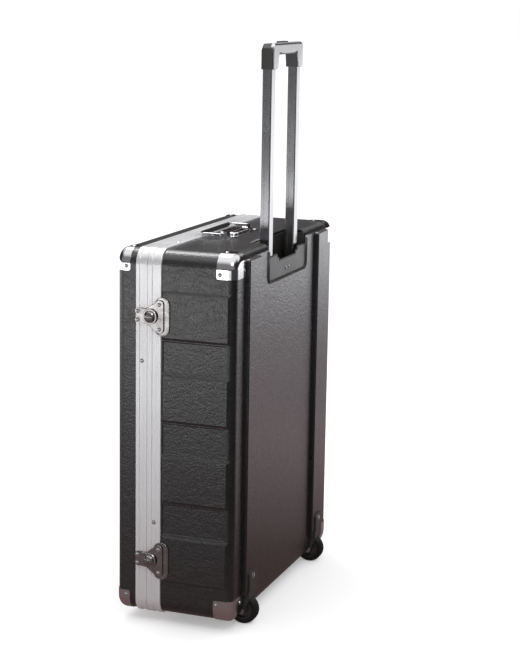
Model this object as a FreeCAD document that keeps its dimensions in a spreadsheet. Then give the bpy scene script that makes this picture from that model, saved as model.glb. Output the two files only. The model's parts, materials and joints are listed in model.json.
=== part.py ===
"""Wheeled hard equipment case with a two-part aluminium rim, twist latches and a pull-out trolley handle.

Frame: +Z up, the case standing on its wheels and feet. X runs across the width, with the two
latches on the +X side and the hinges on the -X side. The lid faces -Y and the wheels and the
trolley handle are at +Y. The origin is on the floor, under the middle of the whole outline.
The sub-parts are drawn about the middle of the moulded shell, and placed together at the end.
"""

import FreeCAD, Part
import Sketcher
import math
import os

doc = FreeCAD.newDocument("EquipmentCase")

# ---------------------------------------------------------------- driving dimensions, in mm

DIMENSIONS = {
    # moulded shell
    "case_width": 588.0,
    "case_height": 732.0,
    "case_depth": 247.0,
    "floor_gap": 25.0,
    "corner_radius": 28.0,
    "edge_radius": 16.0,
    "wall": 3.5,
    "lid_depth": 42.0,
    # aluminium rim
    "rim_lid_half": 24.0,
    "rim_base_half": 29.0,
    "rim_proud": 3.0,
    "rim_flange": 2.5,
    "rim_reach": 14.0,
    "rim_gap": 0.3,
    "flute_width": 9.0,
    "flute_depth": 1.2,
    "tongue_thick": 2.0,
    "tongue_length": 4.0,
    "groove_width": 4.4,
    "groove_depth": 5.0,
    "gasket_thick": 1.2,
    # raised panels on the sides
    "panel_height": 86.5,
    "panel_pitch": 163.3,
    "panel_low": 99.5,
    "panel_raise": 3.0,
    "panel_slope": 60.0,
    "panel_end": 14.5,
    "band_depth": 1.4,
    # raised runners on the back
    "runner_inner": 173.5,
    "runner_outer": 239.5,
    "runner_raise": 9.0,
    "runner_low": 64.0,
    "runner_top": 744.0,
    # trolley recess
    "recess_half": 110.7,
    "recess_floor": 681.0,
    "recess_depth": 45.0,
    "bezel_top": 729.0,
    "bezel_notch": 715.0,
    "notch_half": 53.0,
    # trolley handle
    "tube_spacing": 149.4,
    "tube_wide": 24.0,
    "tube_deep": 20.0,
    "tube_wall": 1.5,
    "tube_set_back": 10.2,
    "tube_low": 600.0,
    "guide_low": 195.0,
    "guide_clear": 0.5,
    "grip_low": 1097.0,
    "grip_top": 1147.0,
    "grip_half": 88.0,
    "grip_deep": 25.0,
    # wheels
    "wheel_radius": 30.0,
    "wheel_width": 22.0,
    "wheel_offset": 206.5,
    "wheel_back": 117.0,
    "axle_radius": 4.0,
    "axle_head": 6.5,
    "fork_half": 8.0,
    # fasteners and fittings
    "cap_thick": 1.3,
    "rivet_radius": 2.4,
    "rivet_head": 4.2,
    "rivet_dome": 1.7,
    "latch_high": 630.0,
    "latch_low": 138.5,
    "hub_radius": 15.0,
    "hub_height": 9.5,
    "latch_seat": 2.8,
    "hinge_radius": 3.6,
    "pin_radius": 2.0,
    "foot_radius": 18.0,
    "foot_spread": 118.0,
    "foot_screw": 2.4,
}

sheet = doc.addObject("Spreadsheet::Sheet", "Sizes")
for row, (alias, number) in enumerate(DIMENSIONS.items(), start=1):
    sheet.set(f"A{row}", alias)
    sheet.set(f"B{row}", str(number))
    sheet.setAlias(f"B{row}", alias)
doc.recompute()


class Size:
    """A length worked out from the sheet: its present value and the expression that drives it."""

    def __init__(self, value, text):
        self.value = float(value)
        self.text = text

    @staticmethod
    def of(other):
        return other if isinstance(other, Size) else Size(other, f"{float(other):g}")

    def __add__(self, other):
        other = Size.of(other)
        return Size(self.value + other.value, f"({self.text} + {other.text})")

    def __radd__(self, other):
        return Size.of(other) + self

    def __sub__(self, other):
        other = Size.of(other)
        return Size(self.value - other.value, f"({self.text} - {other.text})")

    def __rsub__(self, other):
        return Size.of(other) - self

    def __mul__(self, other):
        other = Size.of(other)
        return Size(self.value * other.value, f"({self.text} * {other.text})")

    def __rmul__(self, other):
        return Size.of(other) * self

    def __truediv__(self, other):
        other = Size.of(other)
        return Size(self.value / other.value, f"({self.text} / {other.text})")

    def __neg__(self):
        return Size(-self.value, f"(0 - {self.text})")


class Names:
    """Gives each alias of the sheet as an attribute."""


dim = Names()
for alias in DIMENSIONS:
    setattr(dim, alias, Size(sheet.get(alias), f"Sizes.{alias}"))

# planes and edges that many sub-parts share
side = dim.case_width / 2
low = dim.floor_gap
high = dim.floor_gap + dim.case_height
back = dim.case_depth / 2
front = -back
lid_rim = front + dim.lid_depth
split = lid_rim + dim.rim_lid_half
base_rim = split + dim.rim_base_half
rim_face = side + dim.rim_proud
runner_face = back + dim.runner_raise
tube_x = dim.tube_spacing / 2
tube_face = back - dim.tube_set_back
tube_y = tube_face - dim.tube_deep / 2

SUB_PARTS = []


# ---------------------------------------------------------------- helpers

def bind(thing, prop, size):
    """Sets a property and ties it to the sheet."""
    thing.setExpression(prop, Size.of(size).text)


def make_body(name):
    body = doc.addObject("PartDesign::Body", name)
    body.Label = name
    return body


def origin_feature(body, role):
    return next(item for item in body.Origin.OriginFeatures if item.Role == role)


# unit normal of each origin plane, as a sketch on it sees it
NORMAL_SIGN = {"XY_Plane": 1, "XZ_Plane": -1, "YZ_Plane": 1}


def settle(body, name):
    """Recomputes and stops at once if the newest feature of the body has failed."""
    doc.recompute()
    newest = body.Tip
    if "Invalid" in newest.State or newest.Shape.isNull() or not newest.Shape.isValid():
        raise RuntimeError(f"{name} failed to compute")


def make_sketch(body, name, role, level):
    """A sketch parallel to an origin plane; level is its place along the plane's world axis."""
    sketch = body.newObject("Sketcher::SketchObject", name)
    sketch.AttachmentSupport = [(origin_feature(body, role), "")]
    sketch.MapMode = "FlatFace"
    bind(sketch, "AttachmentOffset.Base.z", Size.of(level) * NORMAL_SIGN[role])
    return sketch


def vector(x, y):
    return FreeCAD.Vector(Size.of(x).value, Size.of(y).value, 0)


def fix_value(sketch, kind, label, size, *places):
    index = sketch.addConstraint(Sketcher.Constraint(kind, *places, Size.of(size).value))
    sketch.renameConstraint(index, label)
    bind(sketch, f"Constraints.{label}", size)


def draw_box(sketch, tag, left, right, bottom, top, radius=None):
    """A rectangle, with rounded corners when radius is given, held by its distances from the origin."""
    spans = [Size.of(item) for item in (left, right, bottom, top)]
    x0, x1, y0, y1 = (item.value for item in spans)
    r = Size.of(radius).value if radius is not None else 0.0
    corners = [(x0, y0), (x1, y0), (x1, y1), (x0, y1)]
    first = sketch.GeometryCount
    for k in range(4):
        ax, ay = corners[k]
        bx, by = corners[(k + 1) % 4]
        ux, uy = (bx > ax) - (bx < ax), (by > ay) - (by < ay)
        start = FreeCAD.Vector(ax + ux * r, ay + uy * r, 0)
        end = FreeCAD.Vector(bx - ux * r, by - uy * r, 0)
        sketch.addGeometry(Part.LineSegment(start, end), False)
    if radius is not None:
        centres = [(x1 - r, y0 + r), (x1 - r, y1 - r), (x0 + r, y1 - r), (x0 + r, y0 + r)]
        for k, (cx, cy) in enumerate(centres):
            circle = Part.Circle(FreeCAD.Vector(cx, cy, 0), FreeCAD.Vector(0, 0, 1), r)
            begin = -math.pi / 2 + k * math.pi / 2
            sketch.addGeometry(Part.ArcOfCircle(circle, begin, begin + math.pi / 2), False)
        for k in range(4):
            arc = first + 4 + k
            sketch.addConstraint(Sketcher.Constraint("Tangent", first + k, 2, arc, 1))
            sketch.addConstraint(Sketcher.Constraint("Tangent", arc, 2, first + (k + 1) % 4, 1))
        for k in range(1, 4):
            sketch.addConstraint(Sketcher.Constraint("Equal", first + 4, first + 4 + k))
        fix_value(sketch, "Radius", f"{tag}_radius", radius, first + 4)
    else:
        for k in range(4):
            sketch.addConstraint(Sketcher.Constraint("Coincident", first + k, 2, first + (k + 1) % 4, 1))
    sketch.addConstraint(Sketcher.Constraint("Horizontal", first))
    sketch.addConstraint(Sketcher.Constraint("Horizontal", first + 2))
    sketch.addConstraint(Sketcher.Constraint("Vertical", first + 1))
    sketch.addConstraint(Sketcher.Constraint("Vertical", first + 3))
    fix_value(sketch, "DistanceX", f"{tag}_left", spans[0], -1, 1, first + 3, 1)
    fix_value(sketch, "DistanceX", f"{tag}_right", spans[1], -1, 1, first + 1, 1)
    fix_value(sketch, "DistanceY", f"{tag}_bottom", spans[2], -1, 1, first, 1)
    fix_value(sketch, "DistanceY", f"{tag}_top", spans[3], -1, 1, first + 2, 1)


def draw_circle(sketch, tag, x, y, radius):
    circle = Part.Circle(vector(x, y), FreeCAD.Vector(0, 0, 1), Size.of(radius).value)
    index = sketch.addGeometry(circle, False)
    fix_value(sketch, "DistanceX", f"{tag}_x", x, -1, 1, index, 3)
    fix_value(sketch, "DistanceY", f"{tag}_y", y, -1, 1, index, 3)
    fix_value(sketch, "Radius", f"{tag}_radius", radius, index)


def draw_outline(sketch, tag, points):
    """A closed outline of straight runs, each corner held by its distances from the origin."""
    first = sketch.GeometryCount
    count = len(points)
    for k in range(count):
        sketch.addGeometry(Part.LineSegment(vector(*points[k]), vector(*points[(k + 1) % count])), False)
    for k in range(count):
        sketch.addConstraint(Sketcher.Constraint("Coincident", first + k, 2, first + (k + 1) % count, 1))
    for k, (x, y) in enumerate(points):
        fix_value(sketch, "DistanceX", f"{tag}_x{k}", x, -1, 1, first + k, 1)
        fix_value(sketch, "DistanceY", f"{tag}_y{k}", y, -1, 1, first + k, 1)


def add_pad(body, name, role, start, end, draw, taper=None):
    """Adds material between two levels along the plane's world axis; taper leans its sides outwards."""
    level = end if NORMAL_SIGN[role] < 0 else start
    sketch = make_sketch(body, f"{name}_sketch", role, level)
    draw(sketch)
    pad = body.newObject("PartDesign::Pad", name)
    pad.Profile = sketch
    bind(pad, "Length", Size.of(end) - Size.of(start))
    if taper is not None:
        bind(pad, "TaperAngle", taper)
    settle(body, name)
    return pad


def add_pocket(body, name, role, start, end, draw, taper=None):
    """Removes material between two levels along the plane's world axis; taper as for a pad."""
    before = body.Shape.Volume
    level = start if NORMAL_SIGN[role] < 0 else end
    sketch = make_sketch(body, f"{name}_sketch", role, level)
    draw(sketch)
    pocket = body.newObject("PartDesign::Pocket", name)
    pocket.Profile = sketch
    bind(pocket, "Length", Size.of(end) - Size.of(start))
    if taper is not None:
        bind(pocket, "TaperAngle", taper)
    settle(body, name)
    if body.Shape.Volume >= before - 0.01:
        raise RuntimeError(f"{name} cuts nothing")
    return pocket


def add_axis(sketch, tag, level, start, end):
    """A construction line, parallel to the sketch's x axis, that an outline is turned about."""
    line = sketch.addGeometry(Part.LineSegment(vector(start, level), vector(end, level)), True)
    sketch.addConstraint(Sketcher.Constraint("Horizontal", line))
    fix_value(sketch, "DistanceX", f"{tag}_axis_start", start, -1, 1, line, 1)
    fix_value(sketch, "DistanceX", f"{tag}_axis_end", end, -1, 1, line, 2)
    fix_value(sketch, "DistanceY", f"{tag}_axis_level", level, -1, 1, line, 1)


def turn_about(body, name, sketch):
    """Turns a sketch a full circle about its construction line."""
    turn = body.newObject("PartDesign::Revolution", name)
    turn.Profile = sketch
    turn.ReferenceAxis = (sketch, ["Axis0"])
    bind(turn, "Angle", 360)
    settle(body, name)
    return turn


def add_mirror(body, name, originals, role="YZ_Plane"):
    mirror = body.newObject("PartDesign::Mirrored", name)
    mirror.Originals = originals
    mirror.MirrorPlane = (origin_feature(body, role), [""])
    body.Tip = mirror
    settle(body, name)
    return mirror


def edges_where(shape, test):
    """Names of the edges whose every sampled point passes the test."""
    names = []
    for index, edge in enumerate(shape.Edges, start=1):
        low_end, high_end = edge.ParameterRange
        points = [edge.valueAt(low_end + (high_end - low_end) * part) for part in (0.0, 0.5, 1.0)]
        if all(test(point) for point in points):
            names.append(f"Edge{index}")
    return names


def add_fillet(body, name, radius, test, kind="Fillet"):
    """Rounds (or chamfers) the edges of the body that pass the test."""
    base = body.Tip
    names = edges_where(base.Shape, test)
    if not names:
        raise RuntimeError(f"{name} finds no edge")
    fillet = body.newObject(f"PartDesign::{kind}", name)
    fillet.Base = (base, names)
    bind(fillet, "Radius" if kind == "Fillet" else "Size", radius)
    settle(body, name)
    return fillet


def near(value, size, tolerance=0.02):
    return abs(value - Size.of(size).value) < tolerance


def finish(thing, name):
    """Registers an object as a sub-part under the name of its node."""
    thing.Label = name
    SUB_PARTS.append(thing)
    return thing


def drilled(name, thing, shanks):
    """The object with a hole for each fastener shank that passes through it."""
    cut = doc.addObject("Part::Cut", name)
    cut.Base = thing
    cut.Tool = shanks
    return finish(cut, name)


def grown_box(sketch, tag, grow):
    """The case's rounded front outline, grown outwards by a distance all round."""
    draw_box(sketch, tag, -(side + grow), side + grow, low - grow, high + grow, dim.corner_radius + grow)


def ring(outer_grow, inner_grow):
    """A drawing of the band between two outlines of the case."""
    def draw(sketch):
        grown_box(sketch, "outer", outer_grow)
        grown_box(sketch, "inner", inner_grow)
    return draw


def filled(grow):
    def draw(sketch):
        grown_box(sketch, "outer", grow)
    return draw


def rectangle(left, right, bottom, top, radius=None):
    def draw(sketch):
        draw_box(sketch, "box", left, right, bottom, top, radius)
    return draw


def disc(x, y, radius):
    def draw(sketch):
        draw_circle(sketch, "disc", x, y, radius)
    return draw


# ---------------------------------------------------------------- rivets

RIVET_GRIP = 4.6
PLUS_X, MINUS_X = FreeCAD.Vector(1, 0, 0), FreeCAD.Vector(-1, 0, 0)
PLUS_Y, MINUS_Y = FreeCAD.Vector(0, 1, 0), FreeCAD.Vector(0, -1, 0)
PLUS_Z, MINUS_Z = FreeCAD.Vector(0, 0, 1), FreeCAD.Vector(0, 0, -1)


def rivet_shape(place, outward, grip=RIVET_GRIP, scale=1.0):
    """A domed rivet: the head on the surface at place, and a shank of length grip below it."""
    radius = dim.rivet_radius.value
    head = dim.rivet_head.value * scale
    dome = dim.rivet_dome.value * scale
    rim = 0.5
    rise = dome - rim
    crown = (head * head + rise * rise) / (2 * rise)
    half_angle = math.asin(head / crown) / 2
    arc = Part.Arc(
        FreeCAD.Vector(head, 0, rim),
        FreeCAD.Vector(crown * math.sin(half_angle), 0, dome - crown * (1 - math.cos(half_angle))),
        FreeCAD.Vector(0, 0, dome),
    ).toShape()
    corners = [(0, dome), (0, -grip), (radius, -grip), (radius, 0), (head, 0), (head, rim)]
    lines = [
        Part.makeLine(FreeCAD.Vector(a[0], 0, a[1]), FreeCAD.Vector(b[0], 0, b[1]))
        for a, b in zip(corners, corners[1:])
    ]
    profile = Part.Face(Part.Wire([arc] + lines))
    shape = profile.revolve(FreeCAD.Vector(), PLUS_Z, 360)
    turn = FreeCAD.Rotation(PLUS_Z, outward)
    shape.Placement = FreeCAD.Placement(place, turn)
    return shape


def rivet_shank(place, outward, grip=RIVET_GRIP, scale=1.0):
    start = place + outward * 1.0
    return Part.makeCylinder(dim.rivet_radius.value, grip + 1.0, start, outward * -1.0)


def fixed_shapes(name, shapes):
    """A Part::Feature that holds a group of separate solids."""
    feature = doc.addObject("Part::Feature", name)
    feature.Label = name
    feature.Shape = Part.makeCompound(shapes)
    return feature


def at(x, y, z):
    return FreeCAD.Vector(Size.of(x).value, Size.of(y).value, Size.of(z).value)


def cap_rivets(lengthwise, y_face, y_side, outward_y):
    """Three rivets for each of four corner caps: one on the side, one on the end, one on the face."""
    found = []
    skin = dim.cap_thick
    for sx in (1, -1):
        for top in (True, False):
            z_side = high - lengthwise if top else low + lengthwise
            z_end = high + skin if top else low - skin
            found.append((at(sx * (side + skin), y_side, z_side), PLUS_X * sx))
            found.append((at(sx * (side - 36), y_side, z_end), PLUS_Z if top else MINUS_Z))
            found.append((at(sx * (side - 43), y_face, z_side + (5 if top else -5)), outward_y))
    return found


latch_levels = (dim.latch_high, dim.latch_low)
latch_y = split + 9.0
latch_seat = dim.latch_seat
latch_top = latch_seat + 2.0
BOSS_SPREAD = 8.6
boss_y = split - 18.5
boss_top = Size.of(2.9)
base_flute = split + 15.0
lid_flute = split - 11.5
hinge_face = rim_face + 1.6
plate_top = high + 2.0

base_rivet_places = cap_rivets(37, back + dim.cap_thick, back - 32, PLUS_Y)
for sx in (1, -1):
    base_rivet_places.append((at(sx * (rim_face - dim.flute_depth), base_flute, 216), PLUS_X * sx))
for x in (-180, 180):
    base_rivet_places.append((at(x, base_flute, high + dim.rim_proud - dim.flute_depth), PLUS_Z))
    base_rivet_places.append((at(x, base_flute, low - dim.rim_proud + dim.flute_depth), MINUS_Z))
for level in latch_levels:
    for dz in (-24, 24):
        place = at(rim_face + latch_top, latch_y + 18.5, level + dz)
        base_rivet_places.append((place, PLUS_X, latch_top.value + 1.6))
for level in latch_levels:
    for dz in (-22, 22):
        base_rivet_places.append((at(-hinge_face, split + 15, level + dz), MINUS_X))
for x in (-1, 1):
    base_rivet_places.append((at(x * dim.wheel_offset, runner_face + 3, 101), PLUS_Y, RIVET_GRIP, 1.5))
for x in (-60, 60):
    for y in (-19, 28):
        base_rivet_places.append((at(x, y, plate_top), PLUS_Z))

lid_rivet_places = cap_rivets(33, front - dim.cap_thick, front + 21, MINUS_Y)
for sx in (1, -1):
    lid_rivet_places.append((at(sx * (rim_face - dim.flute_depth), lid_flute, 540), PLUS_X * sx))
for level in latch_levels:
    for dz in (-BOSS_SPREAD, BOSS_SPREAD):
        lid_rivet_places.append((at(rim_face + boss_top, boss_y, level + dz), PLUS_X, boss_top.value + 2.6))
    for dz in (-22, 22):
        lid_rivet_places.append((at(-hinge_face, split - 15, level + dz), MINUS_X))

base_rivets = fixed_shapes("base_rivets", [rivet_shape(*spot) for spot in base_rivet_places])
finish(base_rivets, "base_rivets")
lid_rivets = fixed_shapes("lid_rivets", [rivet_shape(*spot) for spot in lid_rivet_places])
finish(lid_rivets, "lid_rivets")
base_shanks = fixed_shapes("base_shanks", [rivet_shank(*spot) for spot in base_rivet_places])
lid_shanks = fixed_shapes("lid_shanks", [rivet_shank(*spot) for spot in lid_rivet_places])


# ---------------------------------------------------------------- moulded shells

def shell_form(name, grow, rim_level, face_level, outward_y, hollowed=False):
    """One half of the case, grown outwards, with its far perimeter rounded; solid or hollowed."""
    body = make_body(name)
    face = face_level + outward_y * grow
    inner = face_level - outward_y * dim.wall
    levels = (rim_level, face) if outward_y > 0 else (face, rim_level)
    add_pad(body, f"{name}_block", "XZ_Plane", *levels, filled(grow))
    if hollowed:
        levels = (rim_level, inner) if outward_y > 0 else (inner, rim_level)
        add_pocket(body, f"{name}_cavity", "XZ_Plane", *levels, filled(-dim.wall))
        add_fillet(body, f"{name}_inner_edge", dim.edge_radius - dim.wall, lambda p: near(p.y, inner))
    add_fillet(body, f"{name}_edge", dim.edge_radius + grow, lambda p: near(p.y, face))
    return body


base_lip = split + dim.rim_gap + dim.rim_flange
lid_lip = split - dim.rim_gap - dim.rim_flange
well_half = 21.0
well_front = dim.wheel_back - 37
well_top = 74.0
axle_z = dim.wheel_radius
axle_head_length = 2.6
foot_y = base_rim + 19


def make_base_shell():
    body = shell_form("base_moulding", 0, base_lip, back, 1, hollowed=True)

    lean = math.tan(math.radians(dim.panel_slope.value))
    bury = 1.0
    foot = (dim.panel_raise + bury) * lean

    def four_panels(sketch):
        for k in range(4):
            start = dim.panel_low + k * dim.panel_pitch
            draw_box(
                sketch, f"panel{k}", base_rim - 1.5, back - dim.panel_end + foot,
                start - foot, start + dim.panel_height + foot,
            )

    def three_bands(sketch):
        for k in range(3):
            start = dim.panel_low + dim.panel_height + k * dim.panel_pitch + 5
            end = start + dim.panel_pitch - dim.panel_height - 10
            draw_box(sketch, f"band{k}", base_rim + 0.2, back - dim.panel_end, start, end)

    outer = side + dim.panel_raise
    panels = add_pad(
        body, "side_panels", "YZ_Plane", side - bury, outer, four_panels, -dim.panel_slope,
    )
    bands = add_pocket(
        body, "side_bands", "YZ_Plane", side - dim.band_depth, side + 1, three_bands, -dim.panel_slope,
    )
    add_mirror(body, "side_relief_left", [panels, bands])
    runner = add_pad(
        body, "runner", "XZ_Plane", back - 2.5, runner_face,
        rectangle(dim.runner_inner, dim.runner_outer, dim.runner_low, dim.runner_top, 6),
    )
    add_mirror(body, "runner_left", [runner])
    add_fillet(body, "runner_edges", 3, lambda p: near(p.y, runner_face))
    inside = add_pocket(
        body, "runner_inside", "XZ_Plane", back - 6, runner_face - dim.wall,
        rectangle(dim.runner_inner + dim.wall, dim.runner_outer - dim.wall, 128, dim.runner_top - 22),
    )
    add_mirror(body, "runner_inside_left", [inside])
    add_pocket(
        body, "trolley_recess", "XZ_Plane", back - dim.recess_depth, back + 20,
        rectangle(-dim.recess_half, dim.recess_half, dim.recess_floor, high + 20, 9),
    )
    well = add_pocket(
        body, "wheel_well", "XY_Plane", low - 10, well_top,
        rectangle(dim.wheel_offset - well_half, dim.wheel_offset + well_half, well_front, back + 30),
    )
    add_mirror(body, "wheel_well_left", [well])
    reach = well_half + axle_head_length + 0.6
    recess = add_pocket(
        body, "axle_recess", "YZ_Plane", dim.wheel_offset - reach, dim.wheel_offset + reach,
        disc(dim.wheel_back, axle_z, dim.axle_head + 0.4),
    )
    add_mirror(body, "axle_recess_left", [recess])
    screw_hole = add_pocket(
        body, "foot_screw_hole", "XY_Plane", low - 1, low + dim.wall + 1,
        disc(dim.foot_spread, foot_y, dim.foot_screw),
    )
    add_mirror(body, "foot_screw_hole_left", [screw_hole])
    drilled("base_shell", body, base_shanks)


def make_lid_shell():
    body = shell_form("lid_moulding", 0, lid_lip, front, -1, hollowed=True)
    add_pad(
        body, "lid_panel", "XZ_Plane", front - dim.panel_raise, front + 1,
        rectangle(-(side - 66), side - 66, low + 66, high - 66, 26),
    )
    face = front - dim.panel_raise
    add_fillet(body, "lid_panel_edge", 1.6, lambda p: near(p.y, face))
    drilled("lid_shell", body, lid_shanks)


make_base_shell()
make_lid_shell()


# ---------------------------------------------------------------- aluminium rim and gasket

def flute(body, name, centre):
    """The shallow flat-bottomed channel that runs round the outer face of a rim half."""
    half = dim.flute_width / 2
    add_pocket(
        body, name, "XZ_Plane", centre - half, centre + half,
        ring(dim.rim_proud + 1, dim.rim_proud - dim.flute_depth),
    )


def make_base_rim():
    body = make_body("base_rim_profile")
    start = split + dim.rim_gap
    tongue_mid = -10.0
    add_pad(body, "base_rim_wall", "XZ_Plane", start, base_rim, ring(dim.rim_proud, 0))
    add_pad(body, "base_rim_flange", "XZ_Plane", start, base_lip, ring(1, -dim.rim_reach))
    add_pad(body, "base_rim_leg", "XZ_Plane", base_lip - 0.5, start + 8, ring(-dim.wall, -dim.rim_reach))
    half = dim.groove_width / 2
    add_pocket(
        body, "base_rim_groove", "XZ_Plane", start - 1, start + dim.groove_depth,
        ring(tongue_mid + half, tongue_mid - half),
    )
    flute(body, "base_rim_flute", base_flute)
    face = side + dim.rim_proud
    add_fillet(
        body, "base_rim_beads", 0.9,
        lambda p: (abs(p.x) > face.value - 0.05 or p.z > high.value + 2.95 or p.z < low.value - 2.95)
        and not near(p.y, start, 0.5),
    )
    drilled("base_rim", body, base_shanks)


def make_lid_rim():
    body = make_body("lid_rim_profile")
    start = split - dim.rim_gap
    tongue_mid = -10.0
    half = dim.tongue_thick / 2
    add_pad(body, "lid_rim_wall", "XZ_Plane", lid_rim, start, ring(dim.rim_proud, 0))
    add_pad(body, "lid_rim_flange", "XZ_Plane", lid_lip, start, ring(1, -dim.rim_reach))
    add_pad(body, "lid_rim_leg", "XZ_Plane", start - 8, lid_lip + 0.5, ring(-dim.wall, -dim.rim_reach))
    add_pad(
        body, "lid_rim_tongue", "XZ_Plane", start - 1, start + dim.tongue_length,
        ring(tongue_mid + half, tongue_mid - half),
    )
    flute(body, "lid_rim_flute", lid_flute)
    face = side + dim.rim_proud
    add_fillet(
        body, "lid_rim_beads", 0.9,
        lambda p: (abs(p.x) > face.value - 0.05 or p.z > high.value + 2.95 or p.z < low.value - 2.95)
        and not near(p.y, start, 0.5),
    )
    drilled("lid_rim", body, lid_shanks)


def make_gasket():
    body = make_body("rim_gasket")
    bottom = split + dim.rim_gap + dim.groove_depth
    half = dim.groove_width / 2
    add_pad(
        body, "gasket_band", "XZ_Plane", bottom - dim.gasket_thick + 0.3, bottom,
        ring(half - 10.0, -half - 10.0),
    )
    finish(body, "rim_gasket")


make_base_rim()
make_lid_rim()
make_gasket()


# ---------------------------------------------------------------- pressed corner caps

def corner_box(name, x_leg, y0, y1, z_leg, sx, top):
    """The block that a corner cap is cut out with; its free corners are rounded."""
    box = doc.addObject("Part::Box", f"{name}_block")
    margin = 8
    bind(box, "Length", x_leg + margin)
    bind(box, "Width", y1 - y0)
    bind(box, "Height", z_leg + margin)
    bind(box, "Placement.Base.x", side - x_leg if sx > 0 else -(side + margin))
    bind(box, "Placement.Base.y", y0)
    bind(box, "Placement.Base.z", high - z_leg if top else low - margin)
    doc.recompute()
    return box


def rounded_block(name, box, radius, inner):
    """Rounds the three edges of the block that meet at its inner corner."""
    rounded = doc.addObject("Part::Fillet", f"{name}_rounded")
    rounded.Base = box
    chosen = []
    for index, edge in enumerate(box.Shape.Edges, start=1):
        ends = [vertex.Point for vertex in edge.Vertexes]
        if any((end - inner).Length < 0.01 for end in ends):
            chosen.append((index, radius, radius))
    rounded.Edges = chosen
    doc.recompute()
    return rounded


def make_caps(kind, face_level, outward_y, rim_level, x_leg, y_leg, z_leg, shanks):
    """Four chromed caps on the corners of one half of the case."""
    form = shell_form(f"{kind}_form", 0, rim_level, face_level, outward_y)
    skin = shell_form(f"{kind}_skin", dim.cap_thick, rim_level, face_level, outward_y)
    hollow_skin = doc.addObject("Part::Cut", f"{kind}_skin_only")
    hollow_skin.Base = skin
    hollow_skin.Tool = form
    doc.recompute()
    number = 0
    for top in (True, False):
        for sx in (1, -1):
            number += 1
            name = f"{kind}_corner_cap_{number}"
            if outward_y > 0:
                y0, y1 = face_level - y_leg, face_level + 8
                inner_y = y0
            else:
                y0, y1 = face_level - 8, face_level + y_leg
                inner_y = y1
            box = corner_box(name, Size.of(x_leg), y0, y1, Size.of(z_leg), sx, top)
            inner = at(sx * (side - x_leg), inner_y, high - z_leg if top else low + z_leg)
            block = rounded_block(name, box, 4.0, inner)
            cap = doc.addObject("Part::Common", f"{name}_blank")
            cap.Base = hollow_skin
            cap.Tool = block
            doc.recompute()
            drilled(name, cap, shanks)


make_caps("base", back, 1, base_lip, 51, 39, 46, base_shanks)
make_caps("lid", front, -1, lid_lip, 51, 29, 42, lid_shanks)


# ---------------------------------------------------------------- twist latches

def hull_face(circles, level):
    """A flat face, square to X, bounded by the belt round three circles given as (y, z, radius)."""
    edges = []
    count = len(circles)
    ends = []
    for k in range(count):
        (ay, az, ar), (by, bz, br) = circles[k], circles[(k + 1) % count]
        reach = math.hypot(by - ay, bz - az)
        heading = math.atan2(bz - az, by - ay)
        lean = heading - math.acos((ar - br) / reach)
        ends.append((lean, ay + ar * math.cos(lean), az + ar * math.sin(lean),
                     by + br * math.cos(lean), bz + br * math.sin(lean)))
    for k in range(count):
        lean, y0, z0, y1, z1 = ends[k]
        next_lean = ends[(k + 1) % count][0]
        edges.append(Part.makeLine(FreeCAD.Vector(level, y0, z0), FreeCAD.Vector(level, y1, z1)))
        cy, cz, radius = circles[(k + 1) % count]
        turn = (next_lean - lean) % (2 * math.pi)
        middle = lean + turn / 2
        ny, nz = ends[(k + 1) % count][1:3]
        edges.append(Part.Arc(
            FreeCAD.Vector(level, y1, z1),
            FreeCAD.Vector(level, cy + radius * math.cos(middle), cz + radius * math.sin(middle)),
            FreeCAD.Vector(level, ny, nz),
        ).toShape())
    return Part.Face(Part.Wire(Part.__sortEdges__(edges)))


def round_edges(shape, radius, test):
    chosen = []
    for edge in shape.Edges:
        first, last = edge.ParameterRange
        if all(test(edge.valueAt(first + (last - first) * part)) for part in (0.0, 0.5, 1.0)):
            chosen.append(edge)
    return shape.makeFillet(radius, chosen)


latch_floor = rim_face
claw_low = latch_floor + latch_top + 0.3
claw_top = claw_low + 1.6
hub_low = claw_top + 0.3
hub_top = hub_low + dim.hub_height
ridge_top = claw_low - 0.7


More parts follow.
